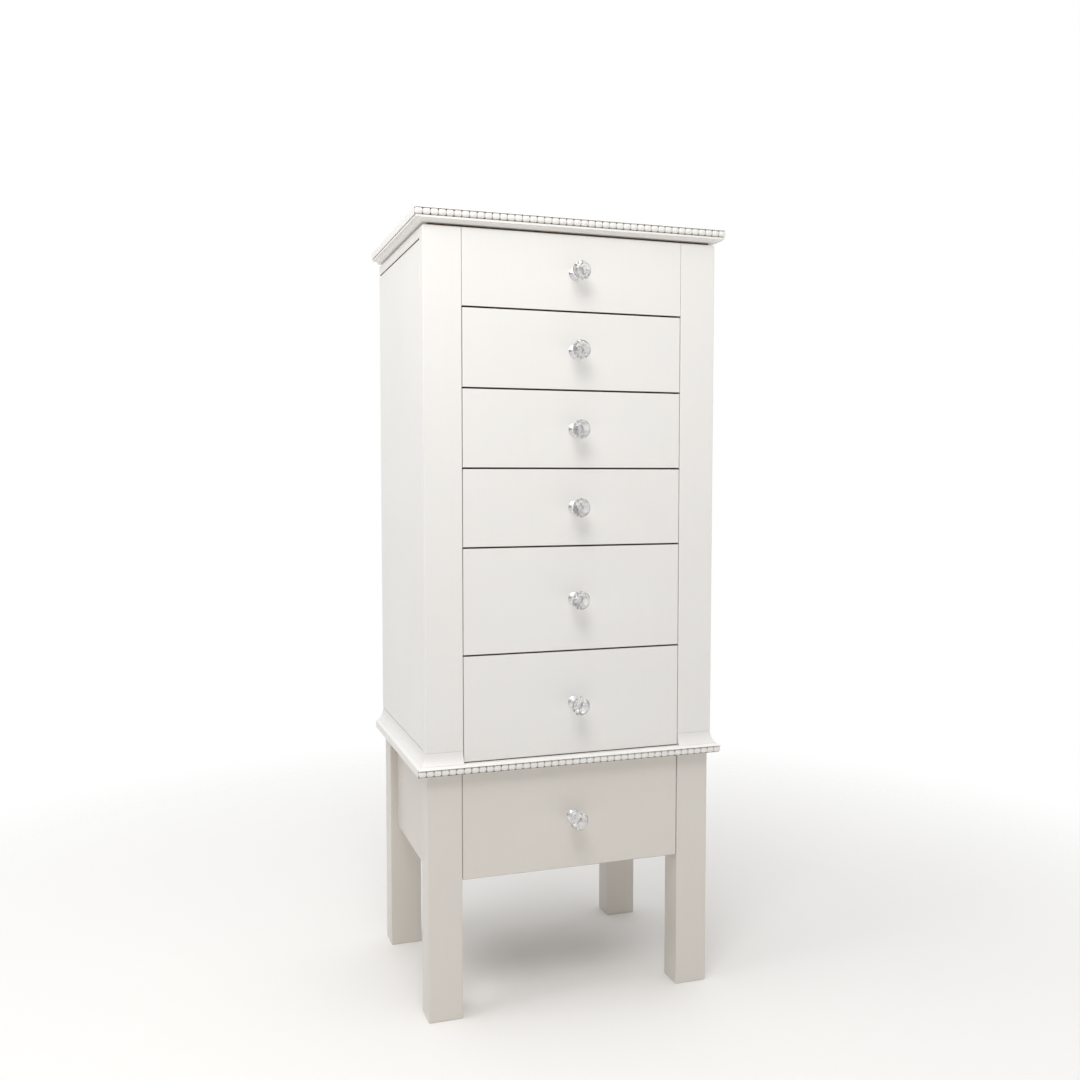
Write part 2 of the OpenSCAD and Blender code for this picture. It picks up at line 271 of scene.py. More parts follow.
@dataclass(frozen=True)
class Lacquer:
    """Sprayed satin lacquer on board: faint clouds of tone, orange peel and slightly uneven gloss."""

    name: str
    colour: Colour
    toned: Colour
    roughness: float = 0.36
    peel_scale: float = 420.0
    peel_height: float = 0.00006

    def material(self) -> bpy.types.Material:
        """Builds the material."""
        shader = Shader(self.name)
        clouds = shader.noise(5.5, 3.0)
        streaks = shader.noise(1.0, 4.0, shader.stretched((160.0, 160.0, 9.0)))
        tone = clouds * 0.75 + streaks * 0.25
        peel = shader.noise(self.peel_scale, 2.0)
        fine = shader.noise(self.peel_scale * 5, 1.0)
        return shader.finish(
            {
                "Base Color": shader.mix(tone, self.colour, self.toned),
                "Roughness": self.roughness + (clouds - 0.5) * 0.12 + (fine - 0.5) * 0.05,
                "Coat Weight": 0.12 + clouds * 0.08,
                "Coat Roughness": 0.22,
                "Normal": shader.bump(peel * 0.8 + fine * 0.2, self.peel_height),
            }
        )


@dataclass(frozen=True)
class PaintedSeamShade:
    """Painted shade for seams, grooves and rebates: a brown, matt cut board edge with a fine crumb, put on
    faces inside them so they read dark.
    """

    name: str = "painted_seam_shade"
    colour: Colour = srgb(118, 94, 74)
    dark: Colour = srgb(74, 56, 44)

    def material(self) -> bpy.types.Material:
        """Builds the material."""
        shader = Shader(self.name)
        crumb = shader.noise(2600.0, 3.0)
        return shader.finish(
            {
                "Base Color": shader.mix(crumb, self.colour, self.dark),
                "Roughness": 0.78 + crumb * 0.2,
                "Normal": shader.bump(crumb, 0.0001),
            }
        )


@dataclass(frozen=True)
class Metal:
    """Plated metal with faint polishing marks and a trace of tarnish."""

    name: str
    colour: Colour
    tarnish: Colour
    roughness: float
    marks: float = 0.08
    tarnish_share: float = 0.35

    def material(self) -> bpy.types.Material:
        """Builds the material."""
        shader = Shader(self.name)
        marks = shader.noise(1.0, 4.0, shader.stretched((2400.0, 2400.0, 300.0)))
        stain = shader.noise(320.0, 3.0)
        return shader.finish(
            {
                "Base Color": shader.mix(stain * self.tarnish_share, self.colour, self.tarnish),
                "Metallic": 1.0,
                "Roughness": self.roughness + (marks - 0.5) * self.marks + stain * 0.04,
                "Normal": shader.bump(marks, 0.000008),
            }
        )


@dataclass(frozen=True)
class Crystal:
    """Clear cut crystal."""

    name: str = "cut_crystal"
    colour: Colour = srgb(254, 254, 253)
    ior: float = 1.52

    def material(self) -> bpy.types.Material:
        """Builds the material."""
        shader = Shader(self.name)
        smear = shader.noise(260.0, 2.0)
        return shader.finish(
            {
                "Base Color": shader.mix(smear, self.colour, srgb(249, 249, 248)),
                "Roughness": smear * 0.03,
                "IOR": self.ior,
                "Transmission Weight": 0.92,
                "Normal": shader.bump(smear, 0.000004),
            }
        )


@dataclass(frozen=True)
class MirrorGlass:
    """Silvered glass with the faintest haze of handling."""

    name: str = "mirror_glass"
    colour: Colour = srgb(236, 239, 239)

    def material(self) -> bpy.types.Material:
        """Builds the material."""
        shader = Shader(self.name)
        haze = shader.noise(14.0, 4.0)
        return shader.finish(
            {
                "Base Color": shader.mix(haze, self.colour, srgb(226, 230, 230)),
                "Metallic": 1.0,
                "Roughness": 0.012 + haze * 0.02,
            }
        )


@dataclass(frozen=True)
class Velvet:
    """Short-pile velvet for the ring cushion and the drawer linings."""

    name: str = "grey_velvet"
    colour: Colour = srgb(176, 168, 172)
    deep: Colour = srgb(128, 120, 126)

    def material(self) -> bpy.types.Material:
        """Builds the material."""
        shader = Shader(self.name)
        brushed = shader.noise(26.0, 3.0)
        pile = shader.noise(3800.0, 2.0)
        return shader.finish(
            {
                "Base Color": shader.mix(brushed * 0.5 + pile * 0.35, self.colour, self.deep),
                "Roughness": 0.86 + (pile - 0.5) * 0.2,
                "Sheen Weight": 0.7,
                "Sheen Roughness": 0.35,
                "Normal": shader.bump(pile * 0.7 + brushed * 0.3, 0.0003),
            }
        )


@dataclass(frozen=True)
class GoldCord:
    """Twisted metallic thread, with painted shade between the strands and a painted highlight on their
    crowns.
    """

    name: str = "gold_cord_thread"
    colour: Colour = srgb(240, 198, 130)
    groove: Colour = srgb(184, 134, 76)

    def material(self) -> bpy.types.Material:
        """Builds the material: the mesh's own "crown" attribute says how far up a strand a point lies."""
        shader = Shader(self.name)
        crown = shader.node("ShaderNodeAttribute", {"attribute_name": "crown"}, out="Fac")
        thread = shader.noise(5200.0, 2.0)
        return shader.finish(
            {
                # painted shade in the grooves between strands, painted highlight on the crowns
                "Base Color": shader.mix(crown * 0.85 + thread * 0.15, self.groove, self.colour),
                "Metallic": 0.1 + crown * 0.2,
                "Roughness": 0.5 - crown * 0.12 + thread * 0.1,
                "Sheen Weight": 0.3,
                "Normal": shader.bump(thread, 0.00012),
            }
        )


@dataclass(frozen=True)
class Moulded:
    """Off-white moulded plastic with a fine spark texture."""

    name: str = "catch_plastic_grain"
    colour: Colour = srgb(228, 226, 220)

    def material(self) -> bpy.types.Material:
        """Builds the material."""
        shader = Shader(self.name)
        spark = shader.noise(1800.0, 2.0)
        return shader.finish(
            {
                "Base Color": shader.mix(spark, self.colour, srgb(216, 213, 206)),
                "Roughness": 0.5 + (spark - 0.5) * 0.2,
                "Normal": shader.bump(spark, 0.00003),
            }
        )


@dataclass
class Finishes:
    """Every finish of the armoire, each made once."""

    lacquer: bpy.types.Material = field(init=False)
    base_lacquer: bpy.types.Material = field(init=False)
    inside: bpy.types.Material = field(init=False)
    raw: bpy.types.Material = field(init=False)
    chrome: bpy.types.Material = field(init=False)
    nickel: bpy.types.Material = field(init=False)
    dark_metal: bpy.types.Material = field(init=False)
    crystal: bpy.types.Material = field(init=False)
    mirror: bpy.types.Material = field(init=False)
    velvet: bpy.types.Material = field(init=False)
    cord: bpy.types.Material = field(init=False)
    plastic: bpy.types.Material = field(init=False)

    def __post_init__(self) -> None:
        """Makes the materials."""
        self.lacquer = Lacquer("white_lacquer", srgb(238, 237, 234), srgb(231, 229, 226)).material()
        # a darker, warmer copy of the white lacquer: painted shade for the lower part, which gets less light
        # from above
        self.base_lacquer = Lacquer("base_lacquer_painted_shade", srgb(223, 218, 211), srgb(215, 209, 201)).material()
        self.inside = Lacquer("inside_paint", srgb(233, 230, 225), srgb(225, 221, 214), 0.5).material()
        # painted shade, put on faces inside seams, grooves and rebates so they read dark
        self.raw = PaintedSeamShade().material()
        chrome = Metal("polished_chrome", srgb(222, 222, 225), srgb(176, 174, 176), 0.09, 0.05)
        self.chrome = chrome.material()
        self.nickel = Metal("satin_nickel", srgb(196, 193, 188), srgb(150, 146, 140), 0.3).material()
        steel = Metal("burnished_steel", srgb(96, 82, 74), srgb(48, 38, 34), 0.3, 0.1, 0.8)
        self.dark_metal = steel.material()
        self.crystal = Crystal().material()
        self.mirror = MirrorGlass().material()
        self.velvet = Velvet().material()
        self.cord = GoldCord().material()
        self.plastic = Moulded().material()


# ---------------------------------------------------------------- making pieces


def linked(name: str, mesh: bpy.types.Mesh) -> bpy.types.Object:
    """A new object in the scene that shows mesh."""
    piece = bpy.data.objects.new(name, mesh)
    bpy.context.scene.collection.objects.link(piece)
    return piece


def settled(piece: bpy.types.Object) -> bpy.types.Object:
    """Turns a piece's modifiers into plain mesh.

    Args:
        piece: An object with modifiers.

    Returns:
        The same object without them.
    """
    bpy.context.view_layer.update()
    graph = bpy.context.evaluated_depsgraph_get()
    mesh = bpy.data.meshes.new_from_object(piece.evaluated_get(graph), depsgraph=graph)
    piece.modifiers.clear()
    piece.data = mesh
    return piece


def rounded(piece: bpy.types.Object, radius: float, segments: int = 3) -> bpy.types.Object:
    """Eases the sharp edges of a piece, with even shading on its flat faces.

    Args:
        piece: A closed mesh object.
        radius: Radius of the edges.
        segments: Faces across each edge.

    Returns:
        The piece.
    """
    for polygon in piece.data.polygons:
        polygon.use_smooth = True
    bevel = piece.modifiers.new("eased_edges", "BEVEL")
    bevel.width = radius
    bevel.segments = segments
    bevel.limit_method = "ANGLE"
    bevel.angle_limit = math.radians(32)
    bevel.harden_normals = True
    bevel.miter_outer = "MITER_ARC"
    return settled(piece)


def dressed(
    piece: bpy.types.Object, body: str, stands_for: Sequence[str] = ()
) -> bpy.types.Object:
    """Fastens a finished piece to the model.

    Args:
        piece: The piece.
        body: The body that it moves with.
        stands_for: The model's nodes that it replaces.

    Returns:
        The piece.
    """
    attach(piece, body)
    if stands_for:
        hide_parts(*stands_for)
    LOG.info("%s on %s, %d faces", piece.name, body, len(piece.data.polygons))
    return piece


def node_points(node: str) -> tuple[list[Vector], list[list[int]]]:
    """Corners and flat faces of a model node, merged from its loose triangles.

    Args:
        node: The node's name.

    Returns:
        Its points, and its faces as lists of point numbers.
    """
    shape = bmesh.new()
    shape.from_mesh(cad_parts[node].data)
    bmesh.ops.remove_doubles(shape, verts=shape.verts, dist=0.004 * MM)
    bmesh.ops.dissolve_limit(
        shape,
        angle_limit=math.radians(0.6),
        use_dissolve_boundaries=False,
        verts=shape.verts,
        edges=shape.edges,
    )
    shape.verts.index_update()
    points = [vert.co.copy() for vert in shape.verts]
    faces = [[vert.index for vert in face.verts] for face in shape.faces]
    shape.free()
    return points, faces


Chooser = Callable[[Vector, Vector], int]


def board(
    node: str,
    body: str,
    materials: Sequence[bpy.types.Material],
    radius: float,
    choose: Chooser | None = None,
) -> bpy.types.Object:
    """A model node with eased edges and its finishes.

    Args:
        node: The node that the piece stands for.
        body: The body that it moves with.
        materials: Its finishes.
        radius: Radius of its edges.
        choose: Takes the middle and the normal of a face and says which finish it has.

    Returns:
        The piece.
    """
    points, faces = node_points(node)
    mesh = bpy.data.meshes.new(node + "_board")
    mesh.from_pydata(points, [], faces)
    for material in materials:
        mesh.materials.append(material)
    if choose:
        for polygon in mesh.polygons:
            polygon.material_index = choose(polygon.center, polygon.normal)
    piece = rounded(linked(node + "_finished", mesh), radius)
    return dressed(piece, body, [node])


def shaded_underside_edge(_: Vector, way: Vector) -> int:
    """1 on the lower edge of a board, which gets painted shade so the seam under it reads dark, and 0
    elsewhere.
    """
    return int(way.z < -0.9)


def shade_behind_beads(node: str) -> Chooser:
    """Picks where painted shade goes in the groove that a row of beads lies in.

    Args:
        node: The model's bar that the beads stand for.

    Returns:
        A chooser that gives 1 on the back wall of the groove and 0 elsewhere.
    """
    low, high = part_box(node)
    slack = 0.3 * MM

    def choose(middle: Vector, way: Vector) -> int:
        """1 on the back wall of the bar's own space."""
        inside = all(low[axis] - slack < middle[axis] < high[axis] + slack for axis in range(3))
        return int(inside and way.y < -0.9)

    return choose


class Shape:
    """Points and faces of one piece, gathered from simple closed forms."""

    def __init__(self) -> None:
        """Starts with nothing."""
        self.points: list[Vector] = []
        self.faces: list[list[int]] = []
        self.slots: list[int] = []

    def add(
        self, points: Sequence[Point], faces: Sequence[Sequence[int]], place: Matrix, slot: int = 0
    ) -> None:
        """Adds a form.

        Args:
            points: Its points in its own frame.
            faces: Its faces as point numbers.
            place: Where its frame lies.
            slot: The number of its finish.
        """
        start = len(self.points)
        self.points += [place @ Vector(point) for point in points]
        self.faces += [[start + number for number in face] for face in faces]
        self.slots += [slot] * len(faces)

    def rings(self, rings: Sequence[Sequence[Point]], place: Matrix, slot: int = 0) -> None:
        """Adds a closed form through rings of points, where a ring of one point is a pole.

        Args:
            rings: The rings, from one end to the other.
            place: Where the form's frame lies.
            slot: The number of its finish.
        """
        points, faces, starts = [], [], []
        for ring in rings:
            starts.append(len(points))
            points += ring
        for number in range(len(rings) - 1):
            low, high = starts[number], starts[number + 1]
            size_low, size_high = len(rings[number]), len(rings[number + 1])
            for turn in range(max(size_low, size_high)):
                after = (turn + 1) % max(size_low, size_high)
                if size_low == 1:
                    faces.append([low, high + after, high + turn])
                elif size_high == 1:
                    faces.append([low + turn, low + after, high])
                else:
                    faces.append([low + turn, low + after, high + after, high + turn])
        if len(rings[0]) > 1:
            faces.append([starts[0] + turn for turn in reversed(range(len(rings[0])))])
        if len(rings[-1]) > 1:
            faces.append([starts[-1] + turn for turn in range(len(rings[-1]))])
        self.add(points, faces, place, slot)

    def turned(
        self, profile: Sequence[tuple[float, float]], place: Matrix, sides: int = 32, slot: int = 0
    ) -> None:
        """Adds a form turned about Z.

        Args:
            profile: Radius and height of each step, from the bottom up.
            place: Where the form's frame lies.
            sides: Points round the axis.
            slot: The number of its finish.
        """
        rings = []
        for radius, height in profile:
            turns = [math.tau * turn / sides for turn in range(sides)] if radius else [0.0]
            rings.append([(radius * math.cos(turn), radius * math.sin(turn), height) for turn in turns])
        self.rings(rings, place, slot)

    def ball(self, radius: float, place: Matrix, slot: int = 0) -> None:
        """Adds a ball about the frame's origin."""
        steps = [math.pi * step / 12 for step in range(13)]
        profile = [(radius * math.sin(step), -radius * math.cos(step)) for step in steps]
        profile[0], profile[-1] = (0.0, -radius), (0.0, radius)
        self.turned(profile, place, 20, slot)

    def bar(self, path: Sequence[Point], radius: float, place: Matrix, sides: int = 14) -> None:
        """Adds a round bar along a path.

        Args:
            path: Points along the middle of the bar.
            radius: Its radius.
            place: Where the path's frame lies.
            sides: Points round it.
        """
        spots = [Vector(point) for point in path]
        across = Vector((0.0, 1.0, 0.0))
        rings = []
        for number, spot in enumerate(spots):
            along = spots[min(number + 1, len(spots) - 1)] - spots[max(number - 1, 0)]
            up = along.normalized().cross(across)
            rings.append(
                [
                    spot + radius * (math.cos(turn) * across + math.sin(turn) * up)
                    for turn in (math.tau * side / sides for side in range(sides))
                ]
            )
        self.rings(rings, place)

    def piece(
        self, name: str, materials: Sequence[bpy.types.Material], smooth: float = 40.0
    ) -> bpy.types.Object:
        """Makes the piece.

        Args:
            name: Its name.
            materials: Its finishes, by slot number.
            smooth: The steepest edge in degrees that is shaded as a curve; 0 leaves every face flat.

        Returns:
            The object.
        """
        mesh = bpy.data.meshes.new(name)
        mesh.from_pydata(self.points, [], self.faces)
        for material in materials:
            mesh.materials.append(material)
        for polygon, slot in zip(mesh.polygons, self.slots):
            polygon.material_index = slot
        work = bmesh.new()
        work.from_mesh(mesh)
        bmesh.ops.recalc_face_normals(work, faces=work.faces)
        work.to_mesh(mesh)
        work.free()
        if smooth:
            mesh.shade_smooth()
            mesh.set_sharp_from_angle(angle=math.radians(smooth))
        return linked(name, mesh)


def curve_through(points: Sequence[Vector], steps: int) -> list[Vector]:
    """A smooth curve through points.

    Args:
        points: The points, in order.
        steps: Stretches between each two of them.

    Returns:
        Points along the curve, the given ones among them.
    """
    last = len(points) - 1
    curve = []
    for number in range(last):
        before, start = points[max(number - 1, 0)], points[number]
        end, after = points[number + 1], points[min(number + 2, last)]
        for step in range(steps):
            t = step / steps
            curve.append(
                0.5
                * (
                    2 * start
                    + (end - before) * t
                    + (2 * before - 5 * start + 4 * end - after) * t**2
                    + (3 * start - before - 3 * end + after) * t**3
                )
            )
    curve.append(points[last])
    return curve


# ---------------------------------------------------------------- what repeats, made by Geometry Nodes


class Group(Tree):
    """A Geometry Nodes tree with named inputs."""

    def __init__(self, name: str, inputs: dict[str, str]) -> None:
        """Makes a tree.

        Args:
            name: Its name.
            inputs: Socket type of each named input.
        """
        super().__init__(bpy.data.node_groups.new(name, "GeometryNodeTree"))
        self.identifiers = {
            label: self.tree.interface.new_socket(label, in_out="INPUT", socket_type=kind).identifier
            for label, kind in inputs.items()
        }
        self.tree.interface.new_socket("Geometry", in_out="OUTPUT", socket_type="NodeSocketGeometry")
        self.source = self.tree.nodes.new("NodeGroupInput")

    def given(self, label: str) -> Value:
        """The input called label."""
        return Value(self, self.source.outputs[label])

    def finish(self, instances: Value, material: Value) -> None:
        """Ends the tree: instances become real mesh with the material."""
        real = self.node("GeometryNodeRealizeInstances", None, {0: instances})
        painted = self.node("GeometryNodeSetMaterial", None, {"Geometry": real, "Material": material})
        self.node("NodeGroupOutput", None, {0: painted})

    def run(self, piece: bpy.types.Object, values: dict[str, object]) -> bpy.types.Object:
        """Runs the tree on a piece and keeps the mesh that it makes.

        Args:
            piece: The object that carries the tree.
            values: What the named inputs hold.

        Returns:
            The object as plain mesh.
        """
        modifier = piece.modifiers.new(self.tree.name, "NODES")
        modifier.node_group = self.tree
        for label, value in values.items():
            modifier[self.identifiers[label]] = value
        return settled(piece)


class BeadRow:
    """Touching pillow-shaped beads in a straight row along X."""

    def __init__(self) -> None:
        """Builds the tree."""
        group = Group(
            "bead_row",
            {
                "Count": "NodeSocketInt",
                "Start": "NodeSocketVector",
                "Pitch": "NodeSocketVector",
                "Half Size": "NodeSocketVector",
                "Squareness": "NodeSocketFloat",
                "Roundness": "NodeSocketFloat",
                "Material": "NodeSocketMaterial",
            },
        )
        ball = group.node("GeometryNodeMeshUVSphere", None, {"Segments": 20, "Rings": 11, "Radius": 1.0})
        spot = group.node("GeometryNodeInputPosition")
        parts = {}
        for axis, label in enumerate(("Squareness", "Roundness", "Roundness")):
            part = group.node("ShaderNodeSeparateXYZ", None, {0: spot}, out=axis)
            power = part.maths("DIVIDE", 2.0, group.given(label))
            parts[axis] = part.maths("SIGN", part) * abs(part) ** power
        fuller = group.node("ShaderNodeCombineXYZ", None, parts)
        half = group.given("Half Size")
        sized = group.node("ShaderNodeVectorMath", {"operation": "MULTIPLY"}, {0: fuller, 1: half})
        bead = group.node("GeometryNodeSetPosition", None, {"Geometry": ball, "Position": sized})
        bead = group.node("GeometryNodeSetShadeSmooth", None, {0: bead})
        line = group.node(
            "GeometryNodeMeshLine",
            {"mode": "OFFSET"},
            {
                "Count": group.given("Count"),
                "Start Location": group.given("Start"),
                "Offset": group.given("Pitch"),
            },
        )
        row = group.node("GeometryNodeInstanceOnPoints", None, {"Points": line, "Instance": bead})
        group.finish(row, group.given("Material"))
        self.group = group

    def row(
        self,
        node: str,
        body: str,
        material: bpy.types.Material,
        pitch: float = 9.65 * MM,
        depth: float = 3.4 * MM,
    ) -> bpy.types.Object:
        """A row of beads in place of a model node.

        Args:
            node: The plain bar that the beads stand for.
            body: The body that they move with.
            material: Their finish.
            pitch: Distance from bead to bead, before it is fitted to the bar.
            depth: Half the depth of a bead; its back half lies in the board.

        Returns:
            The piece.
        """
        low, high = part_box(node)
        count = round((high.x - low.x) / pitch)
        pitch = (high.x - low.x) / count
        half_height = (high.z - low.z) / 2
        piece = self.group.run(
            linked(node + "_beads", bpy.data.meshes.new(node + "_beads")),
            {
                "Count": count,
                "Start": (low.x + pitch / 2, low.y + depth, (low.z + high.z) / 2),
                "Pitch": (pitch, 0.0, 0.0),
                "Half Size": (pitch / 2, depth, half_height),
                "Squareness": 6.5,
                "Roundness": 2.25,
                "Material": material,
            },
        )
        return dressed(piece, body, [node])


class Screws:
    """Small cross-head screws, set on points that know which way they face."""

    def __init__(self) -> None:
        """Builds the tree."""
        group = Group(
            "screw_heads",
            {
                "Points": "NodeSocketGeometry",
                "Head Radius": "NodeSocketFloat",
                "Head Height": "NodeSocketFloat",
                "Material": "NodeSocketMaterial",
            },
        )
        radius, height = group.given("Head Radius"), group.given("Head Height")
        head = group.node(
            "GeometryNodeMeshCone",
            None,
            {"Vertices": 20, "Radius Top": radius * 0.78, "Radius Bottom": radius, "Depth": height},
        )
        for length, width in ((1.2, 0.24), (0.24, 1.2)):
            sizes = {0: radius * length, 1: radius * width, 2: height * 1.2}
            size = group.node("ShaderNodeCombineXYZ", None, sizes)
            bar = group.node("GeometryNodeMeshCube", None, {"Size": size})
            lift = group.node("ShaderNodeCombineXYZ", None, {2: height * 1.1})
            bar = group.node("GeometryNodeTransform", None, {"Geometry": bar, "Translation": lift})
            head = group.node("GeometryNodeMeshBoolean", {"operation": "DIFFERENCE"}, {0: head, 1: bar})
        facing = group.node(
            "GeometryNodeInputNamedAttribute", {"data_type": "FLOAT_VECTOR"}, {"Name": "facing"}
        )
        turn = group.node("FunctionNodeAlignRotationToVector", {"axis": "Z"}, {"Vector": facing})
        heads = group.node(
            "GeometryNodeInstanceOnPoints",
            None,
            {"Points": group.given("Points"), "Instance": head, "Rotation": turn},
        )
        group.finish(heads, group.given("Material"))
        self.group = group

    def set(
        self,
        name: str,
        body: str,
        slot: str,
        material: bpy.types.Material,
        places: Sequence[tuple[Vector, Facing]],
        radius: float,
    ) -> bpy.types.Object:
        """Screw heads at places.

        Args:
            name: The piece's name.
            body: The body that it moves with.
            slot: A material slot name; not used.
            material: Its finish.
            places: Where each head sits, and which way it faces.
            radius: Radius of a head.

        Returns:
            The piece.
        """
        mesh = bpy.data.meshes.new(name)
        mesh.from_pydata([place for place, _ in places], [], [])
        facing = mesh.attributes.new("facing", "FLOAT_VECTOR", "POINT")
        facing.data.foreach_set("vector", [part for _, way in places for part in way.value])
        values = {"Head Radius": radius, "Head Height": radius * 0.42, "Material": material}
        return dressed(self.group.run(linked(name, mesh), values), body)


# ---------------------------------------------------------------- the armoire


@dataclass
class Knob:
    """A cut crystal on a stepped chrome rosette, standing out of a front."""

    finishes: Finishes
    sides: int = 12
    rosette: tuple[tuple[float, float], ...] = (
        (0.0, 0.0), (8.5, 0.0), (8.5, 0.7), (8.1, 1.3), (7.0, 1.7), (6.4, 2.1), (6.6, 2.6), (6.2, 3.0),
        (4.4, 3.6), (3.7, 5.0), (3.9, 6.6), (5.0, 7.9), (6.2, 8.7), (6.4, 9.4), (5.9, 9.8), (0.0, 9.9),
    )
    # radius, height and half-step turn of each ring of corners
    cut: tuple[tuple[float, float, bool], ...] = (
        (5.7, 10.0, False), (9.2, 17.0, True), (12.25, 23.2, False), (12.25, 25.6, False),
        (10.6, 29.0, True), (7.4, 33.0, False),
    )

    def make(self, node: str, body: str) -> None:
        """Makes the knob in place of its model node.

        Args:
            node: The model's knob.
            body: The body that it moves with.
        """
        low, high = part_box(node)
        base = Vector(((low.x + high.x) / 2, high.y, (low.z + high.z) / 2))
        place = Matrix.Translation(base) @ Matrix.Rotation(math.radians(90), 4, "X") @ Matrix.Scale(MM, 4)
        rosette = Shape()
        rosette.turned(self.rosette, place, 48)
        dressed(rosette.piece(node + "_rosette", [self.finishes.chrome]), body, [node])
        crystal = Shape()
        self._facets(crystal, place)
        dressed(crystal.piece(node + "_crystal", [self.finishes.crystal], 0.0), body, [node])

    def _facets(self, shape: Shape, place: Matrix) -> None:
        """Adds the crystal: rings of corners joined by flat facets."""
        points, faces = [], []
        for radius, height, half in self.cut:
            shift = 0.5 if half else 0.0
            for side in range(self.sides):
                turn = math.tau * (side + shift) / self.sides
                points.append((radius * math.cos(turn), radius * math.sin(turn), height))
        for ring in range(len(self.cut) - 1):
            low, high = ring * self.sides, (ring + 1) * self.sides
            half_low, half_high = self.cut[ring][2], self.cut[ring + 1][2]
            for side in range(self.sides):
                after = (side + 1) % self.sides
                if half_low == half_high:
                    faces.append([low + side, low + after, high + after, high + side])
                elif half_high:
                    faces.append([low + side, low + after, high + side])
                    faces.append([low + after, high + after, high + side])
                else:
                    faces.append([low + side, high + after, high + side])
                    faces.append([low + side, low + after, high + after])
        faces.append(list(reversed(range(self.sides))))
        faces.append([len(points) - self.sides + side for side in range(self.sides)])
        shape.add(points, faces, place)


@dataclass
class Base:
    """Four legs, three aprons, the drawer's runners and the waist board with its beading."""

    finishes: Finishes
    beads: BeadRow
    edge: float = 1.1 * MM

    def make(self) -> None:
        """Makes the base."""
        for node in (
            "leg_front_left", "leg_front_right", "leg_rear_left", "leg_rear_right",
            "apron_left", "apron_right", "apron_rear", "base_runners",
        ):
            # legs, aprons and runners take the painted-shade copy of the lacquer
            board(node, "cabinet", [self.finishes.base_lacquer], self.edge)
        for node in ("sill_left", "sill_right"):
            board(node, "cabinet", [self.finishes.lacquer], 0.7 * MM)
        finishes = [self.finishes.lacquer, self.finishes.raw]
        # painted shade on the groove wall behind the beads
        board("waist_board", "cabinet", finishes, 0.7 * MM, shade_behind_beads("waist_beading"))
        self.beads.row("waist_beading", "cabinet", self.finishes.lacquer)


@dataclass
class Carcass:
    """The body: stiles, fixed top panel, walls, shelves, rails, back panel and catches."""

    finishes: Finishes
    screws: Screws
    knob: Knob
    edge: float = 0.9 * MM
    back_screws: int = 5

    def make(self) -> None:
        """Makes the carcass."""
        lacquer, inside, raw = self.finishes.lacquer, self.finishes.inside, self.finishes.raw
        for node in ("stile_left", "stile_right", "back_panel"):
            board(node, "cabinet", [lacquer], self.edge)
        for node in ("top_panel", "top_rails"):
            # painted shade on their undersides, to darken the seams below them
            board(node, "cabinet", [lacquer, raw], self.edge, shaded_underside_edge)
        for node in ("drawer_wall_left", "drawer_wall_right"):
            # painted shade on the walls' front edges, behind the seams
            board(node, "cabinet", [inside, raw], 0.4 * MM, lambda _, way: int(way.y < -0.9))
        self._shelves()
        board("magnet_catches", "cabinet", [self.finishes.plastic], 1.2 * MM)
        self.knob.make("knob_top", "cabinet")
        self._back_screws()

    def _shelves(self) -> None:
        """The shelves, with painted shade on their front edges behind the seams, and velvet on the floor of
        the ring well.
        """
        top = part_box("shelves")[1].z
        materials = [self.finishes.inside, self.finishes.raw, self.finishes.velvet]

        def choose(middle: Vector, way: Vector) -> int:
            """Painted shade in front, velvet on the top shelf."""
            if way.y < -0.9:
                return 1
            return 2 if way.z > 0.9 and middle.z > top - MM else 0

        board("shelves", "cabinet", materials, 0.4 * MM, choose)

    def _back_screws(self) -> None:
        """Screws down both edges of the back panel."""
        low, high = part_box("back_panel")
        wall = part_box("drawer_wall_left")[0].x + 3 * MM
        step = (high.z - low.z - 60 * MM) / (self.back_screws - 1)
        places = [
            (Vector((side * wall, high.y, low.z + 30 * MM + number * step)), Facing.BACK)
            for side in (-1, 1)
            for number in range(self.back_screws)
        ]
        self.screws.set("back_panel_screws", "cabinet", "hinge_steel", self.finishes.nickel, places, 3.2 * MM)


